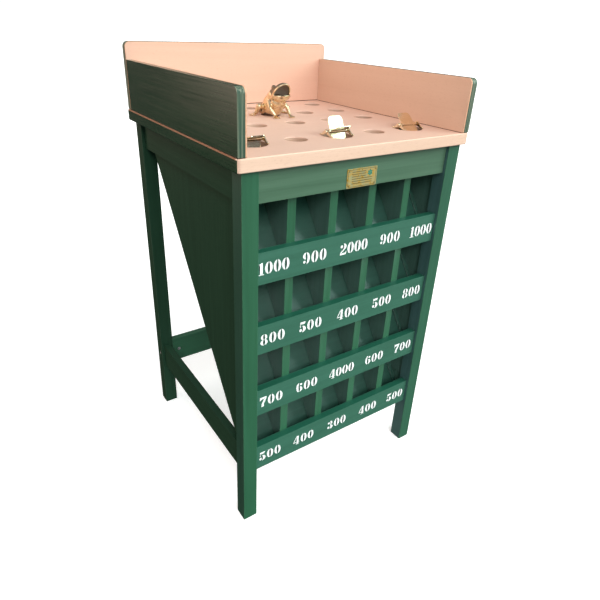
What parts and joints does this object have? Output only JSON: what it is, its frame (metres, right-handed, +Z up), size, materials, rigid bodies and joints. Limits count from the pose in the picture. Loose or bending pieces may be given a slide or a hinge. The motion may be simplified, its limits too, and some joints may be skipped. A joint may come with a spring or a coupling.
{
  "type": "toad in the hole coin game table",
  "caption": "Free-standing coin toss table: walled deck with holes, spinning mills and a brass frog over a cabinet of inclined chutes that lead to numbered front trays.",
  "frame": {"origin": "on the floor under the middle of the deck", "axes": "+Z up, -Y towards the player and the numbered trays, +X to the player's right"},
  "size_m": [0.58, 0.566, 1.039],
  "materials": {
    "green_paint": "satin bottle-green enamel brushed over wood and plywood, soft edges",
    "bare_wood": "clear matt lacquer over pale pinkish fine-grained wood, outer faces of the upstands and side edges of the deck painted green",
    "brass": "polished cast and sheet brass",
    "steel": "zinc-plated furniture bolts and barrel nuts",
    "white_paint": "matt white stencilled numbers"
  },
  "bodies": {
    "frame": {"top_board": "bare_wood", "left_side_board": "bare_wood", "right_side_board": "bare_wood", "back_board": "bare_wood", "front_left_leg": "green_paint", "rear_left_leg": "green_paint", "left_apron": "green_paint", "left_stretcher": "green_paint", "front_right_leg": "green_paint", "rear_right_leg": "green_paint", "right_apron": "green_paint", "right_stretcher": "green_paint", "front_apron": "green_paint", "rear_apron": "green_paint", "rear_stretcher": "green_paint", "score_rail_1": "green_paint", "score_rail_2": "green_paint", "score_rail_3": "green_paint", "score_rail_4": "green_paint", "rear_stretcher_bolt_left": "steel", "left_stretcher_bolt": "steel", "rear_stretcher_nut_left": "steel", "left_stretcher_nut": "steel", "rear_stretcher_bolt_right": "steel", "right_stretcher_bolt": "steel", "rear_stretcher_nut_right": "steel", "right_stretcher_nut": "steel", "chute_floor_1": "green_paint", "chute_floor_2": "green_paint", "chute_floor_3": "green_paint", "chute_floor_4": "green_paint", "lane_divider_1": "green_paint", "lane_divider_2": "green_paint", "lane_divider_3": "green_paint", "lane_divider_4": "green_paint", "chute_side_left": "green_paint", "slope_cleat_left_1": "green_paint", "slope_cleat_left_2": "green_paint", "slope_cleat_left_3": "green_paint", "slope_cleat_left_4": "green_paint", "chute_side_right": "green_paint", "slope_cleat_right_1": "green_paint", "slope_cleat_right_2": "green_paint", "slope_cleat_right_3": "green_paint", "slope_cleat_right_4": "green_paint", "left_mill_bracket_left": "brass", "left_mill_bracket_right": "brass", "left_mill_pin": "brass", "centre_mill_bracket_left": "brass", "centre_mill_bracket_right": "brass", "centre_mill_pin": "brass", "right_mill_bracket_left": "brass", "right_mill_bracket_right": "brass", "right_mill_pin": "brass", "frog": "brass", "front_plate": "brass"},
    "left_mill": {"left_mill_rotor": "brass"},
    "centre_mill": {"centre_mill_rotor": "brass"},
    "right_mill": {"right_mill_rotor": "brass"}
  },
  "joints": [
    {"name": "left_mill_spin", "type": "hinge", "parent": "frame", "child": "left_mill", "pos_m": [-0.209, -0.184, 0.8953], "axis": [1, 0, 0], "continuous": true},
    {"name": "centre_mill_spin", "type": "hinge", "parent": "frame", "child": "centre_mill", "pos_m": [-0.005, -0.184, 0.8953], "axis": [1, 0, 0], "continuous": true},
    {"name": "right_mill_spin", "type": "hinge", "parent": "frame", "child": "right_mill", "pos_m": [0.199, -0.184, 0.8953], "axis": [1, 0, 0], "continuous": true}
  ]
}
